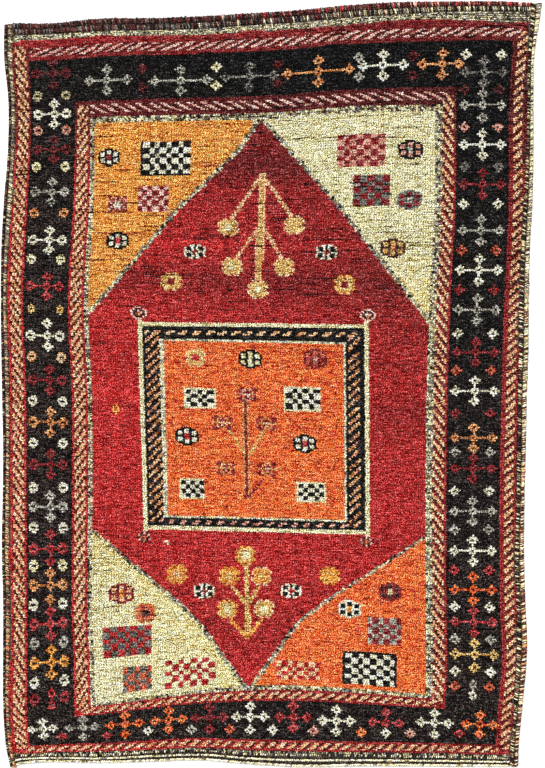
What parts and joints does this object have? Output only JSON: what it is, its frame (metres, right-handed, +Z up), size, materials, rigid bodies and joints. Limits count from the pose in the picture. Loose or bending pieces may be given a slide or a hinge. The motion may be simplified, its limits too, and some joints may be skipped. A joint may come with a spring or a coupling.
{
  "type": "gabbeh rug",
  "caption": "Hand-knotted wool pile rug with a stepped medallion, overcast sides, flat-woven end bands and one whipped end, lying flat on a floor",
  "frame": {"origin": "middle of the rug's box, on its underside", "axes": "+X runs across the rug to the picture's right, +Y runs along the warps to the whipped end, +Z points up out of the pile"},
  "size_m": [1.2154, 1.7202, 0.01],
  "materials": {
    "pile_wool": "matt cut wool pile",
    "left_selvedge_wool": "matt spun wool",
    "right_selvedge_wool": "matt spun wool",
    "top_band_wool": "matt flat weave",
    "whipping_wool": "matt spun wool",
    "bottom_band_wool": "matt flat weave"
  },
  "bodies": {
    "root": {"knotted_pile": "pile_wool", "selvedge_left": "left_selvedge_wool", "selvedge_right": "right_selvedge_wool", "flatweave_top": "top_band_wool", "whipped_edge_top": "whipping_wool", "flatweave_bottom": "bottom_band_wool"}
  },
  "joints": []
}
